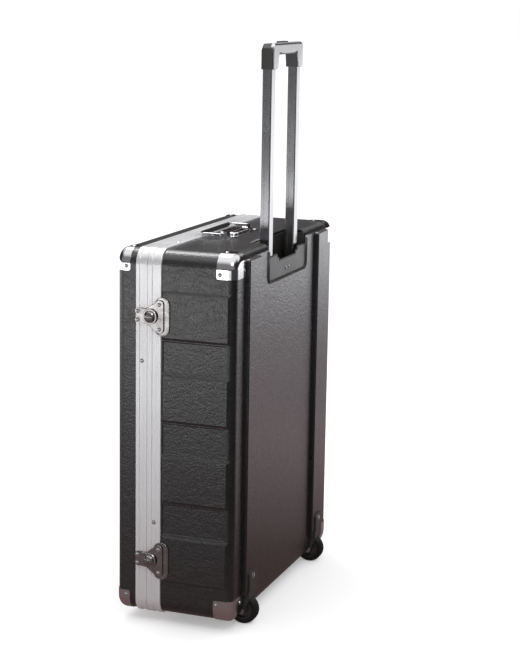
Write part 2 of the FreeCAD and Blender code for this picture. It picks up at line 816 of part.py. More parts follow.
def make_latch(number, level):
    """One twist latch: oval plate, bell-shaped body, sliding claw and hub, and the keeper on the lid."""
    hub_y = latch_y.value
    z = level.value
    dish = 1.4

    backing = make_body(f"latch_backing_{number}_blank")
    add_pad(
        backing, f"latch_oval_{number}", "YZ_Plane", latch_floor, latch_floor + dish,
        rectangle(latch_y + 6.5, latch_y + 38.5, level - 38, level + 38, 15.5),
    )
    add_pad(
        backing, f"latch_packing_{number}", "YZ_Plane", side + dim.panel_raise, latch_floor + 0.5,
        rectangle(base_rim + 2.5, latch_y + 36, level - 30, level + 30, 6),
    )
    add_pad(
        backing, f"latch_ring_{number}", "YZ_Plane", latch_floor, latch_floor + latch_seat,
        lambda sketch: (
            draw_box(sketch, "outer", latch_y + 6.5, latch_y + 38.5, level - 38, level + 38, 15.5),
            draw_box(sketch, "inner", latch_y + 9, latch_y + 36, level - 35.5, level + 35.5, 13),
        ),
    )
    ring_face = latch_floor + latch_seat
    add_fillet(backing, f"latch_ring_edge_{number}", 0.8, lambda p: near(p.x, ring_face))
    drilled(f"latch_backing_{number}", backing, base_shanks)

    seat = ring_face.value
    dish_floor = latch_floor.value + dish
    bell = hull_face([(hub_y, z, 17.0), (hub_y + 18.5, z - 24, 8.5), (hub_y + 18.5, z + 24, 8.5)], seat)
    plate = bell.extrude(FreeCAD.Vector(2.0, 0, 0))
    plate = round_edges(plate, 0.8, lambda p: near(p.x, seat + 2.0))
    supports = [
        Part.makeCylinder(6.0, seat - dish_floor, FreeCAD.Vector(dish_floor, hub_y + 18.5, z + dz), PLUS_X)
        for dz in (-24, 24)
    ]
    supports.append(Part.makeCylinder(
        10.0, seat - latch_floor.value, FreeCAD.Vector(latch_floor.value, hub_y - 4, z), PLUS_X,
    ).common(Part.makeBox(9, 13, 22, FreeCAD.Vector(latch_floor.value, hub_y - 10, z - 11))))
    stem_hole = Part.makeCylinder(4.05, 12, FreeCAD.Vector(latch_floor.value - 1, hub_y, z), PLUS_X)
    plate = plate.fuse(supports).removeSplitter().cut(stem_hole).cut(base_shanks.Shape)
    body = doc.addObject("Part::Feature", f"latch_body_{number}")
    body.Shape = plate
    finish(body, f"latch_body_{number}")

    claw = make_body(f"latch_claw_{number}")
    add_pad(
        claw, f"claw_plate_{number}", "YZ_Plane", claw_low, claw_top,
        rectangle(latch_y - 21, latch_y + 10, level - 14, level + 14, 6),
    )
    add_pocket(
        claw, f"claw_slot_{number}", "YZ_Plane", claw_low - 1, claw_top + 2,
        rectangle(latch_y - 4.4, latch_y + 7.6, level - 4.4, level + 4.4, 4.3),
    )
    add_fillet(claw, f"claw_edge_{number}", 0.6, lambda p: near(p.x, claw_top) and p.y < hub_y - 5)
    finish(claw, f"latch_claw_{number}")

    hub = make_body(f"latch_hub_{number}")
    stem_end = latch_floor + 0.6
    radius = dim.hub_radius
    waist = radius - 4
    nub = 2.6
    rise = dim.hub_height - 1 - 3.0
    dome = []
    for step in range(0, 6):
        lean = math.radians(13 * step)
        dome.append((hub_low + 3.0 + rise * math.sin(lean), level + waist * math.cos(lean)))
    points = [
        (stem_end, level), (stem_end, level + 4.0), (hub_low, level + 4.0),
        (hub_low, level + radius - 0.6), (hub_low + 0.6, level + radius), (hub_low + 1.8, level + radius),
        (hub_low + 2.6, level + radius - 0.8), (hub_low + 2.6, level + waist + 1.2), *dome,
        (hub_top - 1.2, level + nub), (hub_top - 0.4, level + nub - 0.3), (hub_top, level + nub - 1.2),
        (hub_top, level),
    ]
    sketch = make_sketch(hub, f"hub_profile_{number}", "XZ_Plane", latch_y)
    draw_outline(sketch, "hub", points)
    add_axis(sketch, "hub", level, stem_end, hub_low)
    turn_about(hub, f"hub_turning_{number}", sketch)
    finish(hub, f"latch_hub_{number}")

    keeper = make_body(f"keeper_blank_{number}")
    add_pad(
        keeper, f"keeper_plate_{number}", "YZ_Plane", latch_floor, latch_floor + 2,
        rectangle(split - 23, split - 8.5, level - 15, level + 15, 4),
    )

    def two_bosses(sketch):
        for tag, dz in (("upper", BOSS_SPREAD), ("lower", -BOSS_SPREAD)):
            draw_circle(sketch, tag, boss_y, level + dz, 5.8)

    add_pad(keeper, f"keeper_bosses_{number}", "YZ_Plane", latch_floor, latch_floor + boss_top, two_bosses)
    add_pad(
        keeper, f"keeper_ridge_{number}", "YZ_Plane", latch_floor + 1, ridge_top,
        rectangle(split - 12, split - 8.5, level - 9, level + 9, 1.6),
    )
    add_fillet(keeper, f"keeper_edge_{number}", 0.8, lambda p: near(p.x, ridge_top))
    drilled(f"keeper_{number}", keeper, lid_shanks)


for number, level in enumerate(latch_levels, start=1):
    make_latch(number, level)


# ---------------------------------------------------------------- hinges

axis_x = -(rim_face + 1.6 + dim.hinge_radius - 0.8)
HINGE_HALF = 32.0
MIDDLE_HALF = 12.0


def make_hinge_leaf(name, number, level, toward, spans, shanks):
    """A leaf on the rim and its knuckles round the split line; toward is +1 for the base."""
    body = make_body(f"{name}_{number}_blank")
    reach = 27.0 if toward > 0 else 23.0
    relief = 4.6
    edge_a = split + toward * relief
    edge_b = split + toward * reach
    start, end = (edge_a, edge_b) if toward > 0 else (edge_b, edge_a)
    add_pad(
        body, f"{name}_leaf_{number}", "YZ_Plane", -hinge_face, -rim_face,
        rectangle(start, end, level - HINGE_HALF, level + HINGE_HALF, 4),
    )
    for k, (z0, z1) in enumerate(spans):
        tab_start, tab_end = (split, edge_a + 6) if toward > 0 else (edge_a - 6, split)
        add_pad(
            body, f"{name}_tab_{number}_{k}", "YZ_Plane", -hinge_face, -rim_face - 0.1,
            rectangle(tab_start, tab_end, level + z0, level + z1),
        )
        add_pad(
            body, f"{name}_knuckle_{number}_{k}", "XY_Plane", level + z0, level + z1,
            disc(axis_x, split, dim.hinge_radius),
        )
    add_pocket(
        body, f"{name}_bore_{number}", "XY_Plane", level - HINGE_HALF - 1, level + HINGE_HALF + 1,
        disc(axis_x, split, dim.pin_radius + (0 if toward > 0 else 0.06)),
    )
    drilled(f"{name}_{number}", body, shanks)


def make_hinges():
    outer = [(-HINGE_HALF, -MIDDLE_HALF - 0.35), (MIDDLE_HALF + 0.35, HINGE_HALF)]
    inner = [(-MIDDLE_HALF, MIDDLE_HALF)]
    for number, level in enumerate(latch_levels, start=1):
        make_hinge_leaf("hinge_base_leaf", number, level, 1, outer, base_shanks)
        make_hinge_leaf("hinge_lid_leaf", number, level, -1, inner, lid_shanks)
    pins = []
    for number, level in enumerate(latch_levels, start=1):
        pin = doc.addObject("Part::Cylinder", f"hinge_pin_{number}")
        bind(pin, "Radius", dim.pin_radius)
        bind(pin, "Height", 2 * HINGE_HALF)
        bind(pin, "Placement.Base.x", axis_x)
        bind(pin, "Placement.Base.y", split)
        bind(pin, "Placement.Base.z", level - HINGE_HALF)
        pins.append(pin)
    group = doc.addObject("Part::Compound", "hinge_pins")
    group.Links = pins
    finish(group, "hinge_pins")


make_hinges()


# ---------------------------------------------------------------- trolley handle

recess_front = back - dim.recess_depth
housing_floor = dim.recess_floor - 21
guide_half_x = dim.tube_wide / 2 + dim.guide_clear + dim.tube_wall
guide_half_y = dim.tube_deep / 2 + dim.guide_clear + dim.tube_wall


def tube_pair(drawing):
    """Draws the same thing at both tubes."""
    def draw(sketch):
        for tag, x in (("right", tube_x), ("left", -tube_x)):
            drawing(sketch, tag, x)
    return draw


def make_trolley_housing():
    """The moulded cup that lines the recess and carries the mouths of the guide tubes."""
    body = make_body("trolley_housing")
    half = dim.recess_half - 0.5
    thick = 2.5
    add_pad(
        body, "housing_block", "XY_Plane", housing_floor, high - 5,
        rectangle(-half, half, recess_front + 0.5, back - dim.wall),
    )
    add_pocket(
        body, "housing_inside", "XY_Plane", housing_floor + thick, high,
        rectangle(-(half - thick), half - thick, recess_front + 0.5 + thick, back + 5),
    )
    add_pocket(
        body, "housing_mouths", "XY_Plane", housing_floor - 1, housing_floor + 5,
        tube_pair(lambda sketch, tag, x: draw_box(
            sketch, tag, x - dim.tube_wide / 2 - 0.5, x + dim.tube_wide / 2 + 0.5,
            tube_y - dim.tube_deep / 2 - 0.5, tube_y + dim.tube_deep / 2 + 0.5, 2)),
    )
    finish(body, "trolley_housing")


def make_bezel():
    """The insert that closes the back of the recess, with a notch for the fingers."""
    body = make_body("trolley_bezel_blank")
    edge = dim.recess_half - 0.8
    foot = dim.recess_floor + 0.4
    step = dim.notch_half + 9
    points = [
        (-edge, foot + 9), (-edge + 9, foot), (edge - 9, foot), (edge, foot + 9), (edge, dim.bezel_top),
        (step, dim.bezel_top), (step, dim.bezel_top - 7), (dim.notch_half, dim.bezel_top - 7),
        (dim.notch_half - 3, dim.bezel_notch), (-dim.notch_half + 3, dim.bezel_notch),
        (-dim.notch_half, dim.bezel_top - 7), (-step, dim.bezel_top - 7), (-step, dim.bezel_top),
        (-edge, dim.bezel_top),
    ]
    add_pad(
        body, "bezel_plate", "XZ_Plane", back - dim.wall, back - 0.4,
        lambda sketch: draw_outline(sketch, "bezel", points),
    )
    outer = back - 0.4
    add_fillet(
        body, "bezel_edge", 1.4,
        lambda p: near(p.y, outer) and p.z > foot.value + 20 and abs(p.x) < edge.value - 0.5,
    )
    screws = []
    for number, x in enumerate((-8.6, 8.6), start=1):
        place = at(x, outer, dim.recess_floor + 14)
        head = Part.makeCone(3.4, 2.4, 1.5, place, PLUS_Y)
        slot = Part.makeBox(0.9, 1.2, 4.6, place + FreeCAD.Vector(-0.45, 0.8, -2.3))
        cross = Part.makeBox(4.6, 1.2, 0.9, place + FreeCAD.Vector(-2.3, 0.8, -0.45))
        shank = Part.makeCylinder(1.6, 3.0, place + FreeCAD.Vector(0, -3.0, 0), PLUS_Y)
        screws.append(head.fuse(shank).cut(slot).cut(cross))
    group = fixed_shapes("bezel_screws", screws)
    finish(group, "bezel_screws")
    holes = fixed_shapes("bezel_screw_holes", [
        Part.makeCylinder(1.6, 6.0, at(x, back - 4.0, dim.recess_floor + 14), PLUS_Y) for x in (-8.6, 8.6)
    ])
    drilled("trolley_bezel", body, holes)


def make_guides():
    """Fixed outer tubes inside the case, and the bar that ties their lower ends."""
    for number, x in enumerate((tube_x, -tube_x), start=1):
        name = f"guide_tube_{number}"
        body = make_body(name)

        def draw(sketch, x=x):
            draw_box(sketch, "outer", x - guide_half_x, x + guide_half_x,
                     tube_y - guide_half_y, tube_y + guide_half_y, 3)
            draw_box(sketch, "inner", x - guide_half_x + dim.tube_wall, x + guide_half_x - dim.tube_wall,
                     tube_y - guide_half_y + dim.tube_wall, tube_y + guide_half_y - dim.tube_wall, 1.6)

        add_pad(body, f"{name}_wall", "XY_Plane", dim.guide_low, housing_floor, draw)
        finish(body, name)
    bar = make_body("guide_bar")
    add_pad(
        bar, "guide_bar_block", "XY_Plane", dim.guide_low - 16, dim.guide_low,
        rectangle(-(tube_x + 26), tube_x + 26, tube_y - guide_half_y - 2, back - dim.wall, 4),
    )
    finish(bar, "guide_bar")


def make_inner_tubes():
    for number, x in enumerate((tube_x, -tube_x), start=1):
        name = f"trolley_tube_{number}"
        body = make_body(name)
        half_x = dim.tube_wide / 2
        half_y = dim.tube_deep / 2

        def draw(sketch, x=x):
            draw_box(sketch, "outer", x - half_x, x + half_x, tube_y - half_y, tube_y + half_y, 2.4)
            draw_box(sketch, "inner", x - half_x + dim.tube_wall, x + half_x - dim.tube_wall,
                     tube_y - half_y + dim.tube_wall, tube_y + half_y - dim.tube_wall, 1.2)

        add_pad(body, f"{name}_wall", "XY_Plane", dim.tube_low, dim.grip_low + 17, draw)
        for k, (dx, flip) in enumerate(((half_x, 1), (-half_x, -1))):
            groove_start = x + dx - 0.6 if flip > 0 else x + dx - 1
            groove_end = x + dx + 1 if flip > 0 else x + dx + 0.6
            add_pocket(
                body, f"{name}_flute_{k}", "YZ_Plane", groove_start, groove_end,
                rectangle(tube_y - 3, tube_y + 3, dim.tube_low - 1, dim.grip_low + 20),
            )
        finish(body, name)


grip_back = tube_face + 2.2
grip_front = grip_back - dim.grip_deep
bar_low = dim.grip_low + 28


def make_grip():
    """The grip: a bar with two legs that take the tubes, hollow for the release linkage."""
    body = make_body("grip_body")
    half = dim.grip_half
    leg = tube_x - dim.tube_wide / 2 - 2.0
    points = [
        (-half, dim.grip_low), (-leg, dim.grip_low), (-leg + 5, bar_low), (leg - 5, bar_low),
        (leg, dim.grip_low), (half, dim.grip_low), (half, dim.grip_top - 9), (half - 9, dim.grip_top),
        (-half + 9, dim.grip_top), (-half, dim.grip_top - 9),
    ]
    add_pad(
        body, "grip_block", "XZ_Plane", grip_front, grip_back,
        lambda sketch: draw_outline(sketch, "grip", points),
    )
    add_fillet(
        body, "grip_round", 6,
        lambda p: (near(p.y, grip_front) or near(p.y, grip_back)) and p.z > dim.grip_low.value + 30
        and not (near(abs(p.x), half) and p.z < dim.grip_top.value - 10),
    )
    add_fillet(
        body, "grip_end_round", 3,
        lambda p: near(abs(p.x), half) and (near(p.y, grip_front) or near(p.y, grip_back)),
    )
    add_pocket(
        body, "grip_sockets", "XY_Plane", dim.grip_low - 1, dim.grip_low + 17,
        tube_pair(lambda sketch, tag, x: draw_box(
            sketch, tag, x - dim.tube_wide / 2, x + dim.tube_wide / 2,
            tube_y - dim.tube_deep / 2, tube_y + dim.tube_deep / 2, 2.4)),
    )
    add_pocket(
        body, "grip_rod_wells", "XY_Plane", dim.grip_low + 16, bar_low + 6,
        tube_pair(lambda sketch, tag, x: draw_circle(sketch, tag, x, tube_y, 3.6)),
    )
    add_pocket(
        body, "grip_channel", "XY_Plane", bar_low + 4, dim.grip_top - 5,
        rectangle(-(tube_x + 6), tube_x + 6, tube_y - 4, tube_y + 4),
    )
    add_pocket(
        body, "button_hole", "XY_Plane", dim.grip_top - 9.5, dim.grip_top + 2,
        rectangle(-22.4, 22.4, tube_y - 6.4, tube_y + 6.4, 5.4),
    )
    finish(body, "grip_body")

    fascia = make_body("grip_fascia_blank")
    edge = half - 2.5
    crown = dim.grip_top + 1.5

    def arch(sketch):
        sag = bar_low + 2.5
        points = [
            (-edge, dim.grip_low + 1), (-leg - 1, dim.grip_low + 1), (-leg + 6, sag + 3),
            (-leg / 2, sag), (leg / 2, sag), (leg - 6, sag + 3), (leg + 1, dim.grip_low + 1),
            (edge, dim.grip_low + 1), (edge, crown - 8), (edge - 8, crown), (-edge + 8, crown),
            (-edge, crown - 8),
        ]
        draw_outline(sketch, "fascia", points)

    outer = grip_back + 2.2
    add_pad(fascia, "fascia_plate", "XZ_Plane", tube_y + 6.8, outer, arch)
    add_pocket(
        fascia, "fascia_tube_seats", "XY_Plane", dim.grip_low - 1, dim.grip_low + 17,
        tube_pair(lambda sketch, tag, x: draw_box(
            sketch, tag, x - dim.tube_wide / 2, x + dim.tube_wide / 2,
            tube_y - dim.tube_deep / 2, tube_y + dim.tube_deep / 2, 2.4)),
    )
    add_fillet(fascia, "fascia_edge", 5, lambda p: near(p.y, outer) and near(p.z, crown))
    # both are taken before they are placed: the whole fascia is moved afterwards
    cut = doc.addObject("Part::Cut", "grip_fascia")
    cut.Base = fascia.Tip
    cut.Tool = body.Tip
    finish(cut, "grip_fascia")

    button = make_body("release_button")
    add_pad(
        button, "button_cap", "XY_Plane", dim.grip_top - 4.8, dim.grip_top + 3.5,
        rectangle(-22, 22, tube_y - 6, tube_y + 6, 5),
    )
    crown = dim.grip_top + 3.5
    add_fillet(button, "button_edge", 1.6, lambda p: near(p.z, crown))
    finish(button, "release_button")

    linkage = make_body("release_linkage")
    bar_bottom = dim.grip_top - 9
    add_pad(
        linkage, "linkage_bar", "XY_Plane", bar_bottom, dim.grip_top - 5.2,
        rectangle(-(tube_x + 4), tube_x + 4, tube_y - 3.2, tube_y + 3.2, 2),
    )
    add_pad(
        linkage, "linkage_neck", "XY_Plane", dim.grip_top - 6, dim.grip_top - 4.8,
        rectangle(-14, 14, tube_y - 3, tube_y + 3),
    )
    add_pad(
        linkage, "linkage_rods", "XY_Plane", dim.tube_low + 14, bar_bottom + 1,
        tube_pair(lambda sketch, tag, x: draw_circle(sketch, tag, x, tube_y, 2.5)),
    )
    finish(linkage, "release_linkage")


make_trolley_housing()
make_bezel()
make_guides()
make_inner_tubes()
make_grip()


# ---------------------------------------------------------------- wheels and feet

def revolved(body, name, middle, points):
    """Turns an outline drawn in a plane through the wheel's axle; points are (x, radius)."""
    sketch = make_sketch(body, f"{name}_sketch", "XZ_Plane", dim.wheel_back)
    draw_outline(sketch, name, [(x, axle_z + radius) for x, radius in points])
    add_axis(sketch, name, axle_z, middle - 5, middle + 5)
    return turn_about(body, name, sketch)


def make_wheels():
    axles = []
    for number, sx in enumerate((1, -1), start=1):
        middle = sx * dim.wheel_offset
        half = dim.wheel_width / 2
        tread = dim.wheel_radius
        tyre = make_body(f"wheel_tyre_{number}")
        revolved(tyre, f"tyre_turning_{number}", middle, [
            (middle - half, 20.0), (middle + half, 20.0), (middle + half, tread - 4),
            (middle + half - 1.4, tread - 1.4), (middle + half - 4, tread),
            (middle - half + 4, tread), (middle - half + 1.4, tread - 1.4), (middle - half, tread - 4),
        ])
        finish(tyre, f"wheel_tyre_{number}")
        hub = make_body(f"wheel_hub_{number}")
        bore = dim.axle_radius + 0.06
        revolved(hub, f"hub_body_{number}", middle, [
            (middle - half - 1.5, bore), (middle + half + 1.5, bore), (middle + half + 1.5, 8.5),
            (middle + 3, 9.5), (middle + 3, 16.5), (middle + half - 1, 18), (middle + half - 1, 20.0),
            (middle - half + 1, 20.0), (middle - half + 1, 18), (middle - 3, 16.5), (middle - 3, 9.5),
            (middle - half - 1.5, 8.5),
        ])
        finish(hub, f"wheel_hub_{number}")

        cheek = 14.0
        bracket = make_body(f"wheel_bracket_{number}_blank")
        left = middle - well_half + 0.2
        right = middle + well_half - 0.2
        add_pad(
            bracket, f"bracket_block_{number}", "YZ_Plane", left, right,
            lambda sketch: draw_outline(sketch, "cheek", [
                (well_front + 0.2, well_top - 22), (dim.wheel_back - dim.fork_half - 5, well_top - 24),
                (dim.wheel_back - dim.fork_half, axle_z + 4), (dim.wheel_back - dim.fork_half, axle_z - 4),
                (dim.wheel_back - 4, axle_z - 8), (dim.wheel_back + 4, axle_z - 8),
                (dim.wheel_back + dim.fork_half, axle_z - 4), (dim.wheel_back + dim.fork_half, axle_z + 4),
                (runner_face + 3, well_top - 16), (runner_face + 3, well_top - 0.2),
                (well_front + 0.2, well_top - 0.2),
            ]),
        )
        add_pad(
            bracket, f"bracket_lug_{number}", "XZ_Plane", runner_face, runner_face + 3,
            rectangle(middle - 17, middle + 17, well_top - 8, 113, 9),
        )
        reach = dim.wheel_radius + 2.5
        add_pocket(
            bracket, f"bracket_slot_{number}", "YZ_Plane", middle - cheek, middle + cheek,
            disc(dim.wheel_back, axle_z, reach),
        )
        add_pocket(
            bracket, f"bracket_bore_{number}", "YZ_Plane", left - 1, right + 1,
            disc(dim.wheel_back, axle_z, dim.axle_radius),
        )
        drilled(f"wheel_bracket_{number}", bracket, base_shanks)

        pin = Part.makeCylinder(
            dim.axle_radius.value, (right - left).value,
            at(left, dim.wheel_back, axle_z), PLUS_X,
        )
        heads = []
        for place, outward in ((at(left, dim.wheel_back, axle_z), MINUS_X),
                               (at(right, dim.wheel_back, axle_z), PLUS_X)):
            heads.append(Part.makeCone(dim.axle_head.value, 4.0, axle_head_length, place, outward))
        axles.append(pin.fuse(heads))
    group = fixed_shapes("wheel_axles", axles)
    finish(group, "wheel_axles")


def make_feet():
    """Two moulded rubber feet near the rim that keep the case upright with the wheels."""
    screws = []
    for number, sx in enumerate((1, -1), start=1):
        name = f"foot_{number}"
        body = make_body(name)
        x = sx * dim.foot_spread
        add_pad(body, f"{name}_puck", "XY_Plane", 0, low, disc(x, foot_y, dim.foot_radius))
        add_fillet(body, f"{name}_round", 2.5, lambda p: near(p.z, 0))
        add_pocket(body, f"{name}_recess", "XY_Plane", -1, 14, disc(x, foot_y, 6.5))
        add_pocket(body, f"{name}_hole", "XY_Plane", -1, low + 1, disc(x, foot_y, dim.foot_screw))
        finish(body, name)
        place = at(x, foot_y, 14)
        head = Part.makeCone(4.0, 5.5, 3.0, place + FreeCAD.Vector(0, 0, -3.0), PLUS_Z)
        shank = Part.makeCylinder(dim.foot_screw.value, low.value + 3.0 - 14, place, PLUS_Z)
        screws.append(head.fuse(shank))
    group = fixed_shapes("foot_screws", screws)
    finish(group, "foot_screws")


make_wheels()
make_feet()


# ---------------------------------------------------------------- carrying handle on the top

pivot_y = 10.0
pivot_z = high + 7.6
arm_x = 82.0
arm_reach = 46.0
rod = 2.2
sleeve = 3.9


def make_carry_handle():
    plate = make_body("handle_plate_blank")
    add_pad(
        plate, "handle_base", "XY_Plane", high, plate_top,
        rectangle(-67, 67, -25, 34, 9),
    )
    add_pad(
        plate, "handle_dome", "XY_Plane", high + 1, high + 7,
        rectangle(-42, 42, -17, 27, 12),
    )
    dome_top = high + 7
    add_fillet(plate, "handle_dome_edge", 4.5, lambda p: near(p.z, dome_top))
    for tag, x0, x1 in (("right", 50, 66), ("left", -66, -50)):
        add_pad(
            plate, f"handle_ear_{tag}", "YZ_Plane", x0, x1,
            lambda sketch: draw_outline(sketch, "ear", [
                (pivot_y - 8, high + 1), (pivot_y + 8, high + 1), (pivot_y + 4, pivot_z + 3.6),
                (pivot_y - 4, pivot_z + 3.6),
            ]),
        )
    add_pocket(plate, "handle_bore", "YZ_Plane", -80, 80, disc(pivot_y, pivot_z, rod + 0.06))
    drilled("handle_plate", plate, base_shanks)

    turn_radius = 9.0
    path = [
        (at(51, pivot_y, pivot_z), None),
        (at(arm_x, pivot_y, pivot_z), turn_radius),
        (at(arm_x, pivot_y - arm_reach, pivot_z), turn_radius),
        (at(-arm_x, pivot_y - arm_reach, pivot_z), turn_radius),
        (at(-arm_x, pivot_y, pivot_z), turn_radius),
        (at(-51, pivot_y, pivot_z), None),
    ]
    bail = doc.addObject("Part::Feature", "handle_bail")
    bail.Shape = rod_along(path, rod)
    finish(bail, "handle_bail")

    grip = make_body("handle_grip")
    reach = arm_x - turn_radius - 0.5

    def section(sketch):
        draw_circle(sketch, "outer", pivot_y - arm_reach, pivot_z, sleeve)
        draw_circle(sketch, "inner", pivot_y - arm_reach, pivot_z, rod)

    add_pad(grip, "handle_grip_tube", "YZ_Plane", -reach, reach, section)
    add_fillet(grip, "handle_grip_ends", 1.2, lambda p: near(abs(p.x), reach)
               and math.hypot(p.y - pivot_y + arm_reach, p.z - pivot_z.value) > sleeve - 0.5)
    finish(grip, "handle_grip")


def rod_along(path, radius):
    """A round bar along straight runs joined by tangent arcs."""
    edges = []
    last = path[0][0]
    for k in range(1, len(path)):
        point, bend = path[k]
        if bend is None:
            edges.append(Part.makeLine(last, point))
            continue
        into = (point - path[k - 1][0]).normalize()
        out = (path[k + 1][0] - point).normalize()
        start = point - into * bend
        end = point + out * bend
        centre = start + out * bend
        middle = centre - (out + into * -1.0).normalize() * bend
        edges.append(Part.makeLine(last, start))
        edges.append(Part.Arc(start, middle, end).toShape())
        last = end
    wire = Part.Wire(edges)
    first_run = (path[1][0] - path[0][0]).normalize()
    circle = Part.Wire(Part.makeCircle(radius, path[0][0], first_run))
    return wire.makePipeShell([circle], True, False)


make_carry_handle()


# ---------------------------------------------------------------- lining

def make_lining():
    panel_front = recess_front - 2.0
    board = make_body("liner_board")
    add_pad(board, "liner_sheet", "XZ_Plane", panel_front, panel_front + 2, filled(-dim.wall - 1))
    finish(board, "liner_board")

    base = make_body("base_foam")
    rim_clear = split + 9.2
    add_pad(base, "base_foam_block", "XZ_Plane", rim_clear, panel_front, filled(-dim.wall - 0.5))
    add_pocket(base, "base_foam_inside", "XZ_Plane", rim_clear, panel_front - 14, filled(-dim.wall - 15))
    finish(base, "base_foam")

    lid = make_body("lid_foam")
    inner = front + dim.wall
    add_pad(
        lid, "lid_foam_sheet", "XZ_Plane", inner + 0.3, inner + 22,
        rectangle(-(side - 18), side - 18, low + 18, high - 18, 18),
    )
    finish(lid, "lid_foam")


make_lining()


# ---------------------------------------------------------------- placing, checks and export

# the origin goes under the middle of everything: latches against hinges, wheels against lid
middle_x = (hub_top + axis_x - dim.hinge_radius) / 2
middle_y = (dim.wheel_back + dim.wheel_radius + front - dim.cap_thick - dim.rivet_dome) / 2
for thing in SUB_PARTS:
    bind(thing, "Placement.Base.x", -middle_x)
    bind(thing, "Placement.Base.y", -middle_y)

doc.recompute()
for thing in doc.Objects:
    if "Invalid" in thing.State or "Error" in thing.State:
        raise RuntimeError(f"{thing.Label} failed to compute: {thing.State}")

placed = {thing.Label: thing.Shape for thing in SUB_PARTS}
for neighbour in ("grip_body", "trolley_tube_1", "trolley_tube_2", "release_button"):
    shared = placed["grip_fascia"].common(placed[neighbour]).Volume
    if shared > 0.5:
        raise RuntimeError(f"the fascia runs {shared:.1f} mm3 into {neighbour}")

os.makedirs("parts", exist_ok=True)
for thing in SUB_PARTS:
    shape = thing.Shape
    if shape.isNull() or not shape.isValid() or not shape.Solids:
        raise RuntimeError(f"{thing.Label} has no valid solid")
    print(f"{thing.Label:24s} solids {len(shape.Solids):3d}  volume {shape.Volume / 1000:10.2f} cm3")
for thing in SUB_PARTS:
    thing.Shape.exportStep(f"parts/{thing.Label}.step")
whole = Part.makeCompound([thing.Shape for thing in SUB_PARTS]).BoundBox
print(len(SUB_PARTS), "sub-parts; placed by", -middle_x.value, -middle_y.value)
print("overall", whole)
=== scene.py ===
import json
import math

import bmesh
import bpy
from mathutils import Matrix, Vector


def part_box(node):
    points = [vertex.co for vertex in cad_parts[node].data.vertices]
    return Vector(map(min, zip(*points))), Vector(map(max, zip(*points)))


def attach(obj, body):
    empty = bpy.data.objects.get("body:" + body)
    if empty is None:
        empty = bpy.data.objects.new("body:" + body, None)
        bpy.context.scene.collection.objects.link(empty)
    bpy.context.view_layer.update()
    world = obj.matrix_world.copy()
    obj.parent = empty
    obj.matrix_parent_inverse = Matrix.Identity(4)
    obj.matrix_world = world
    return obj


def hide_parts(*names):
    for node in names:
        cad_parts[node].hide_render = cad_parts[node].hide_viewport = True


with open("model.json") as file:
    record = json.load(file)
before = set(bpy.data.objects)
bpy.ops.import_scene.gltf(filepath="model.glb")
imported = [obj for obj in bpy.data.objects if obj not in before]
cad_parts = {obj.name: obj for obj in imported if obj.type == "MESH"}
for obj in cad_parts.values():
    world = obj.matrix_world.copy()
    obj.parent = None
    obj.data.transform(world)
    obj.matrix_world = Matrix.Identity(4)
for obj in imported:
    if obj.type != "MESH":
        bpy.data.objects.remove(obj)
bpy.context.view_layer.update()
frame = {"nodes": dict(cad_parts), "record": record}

# ---------------------------------------------------------------- materials


def add_node(tree, kind, inputs=None, **settings):
    """Adds a node to a tree; an input is either another node's output or a plain value."""
    node = tree.nodes.new(kind)
    for key, value in settings.items():
        setattr(node, key, value)
    for key, value in (inputs or {}).items():
        if isinstance(value, bpy.types.NodeSocket):
            tree.links.new(value, node.inputs[key])
        else:
            node.inputs[key].default_value = value
    return node


def colour(value):
    """A colour with full opacity."""
    return (*value, 1.0)


def scaled(value, factor):
    """A colour made darker or brighter by factor."""
    return tuple(part * factor for part in value)


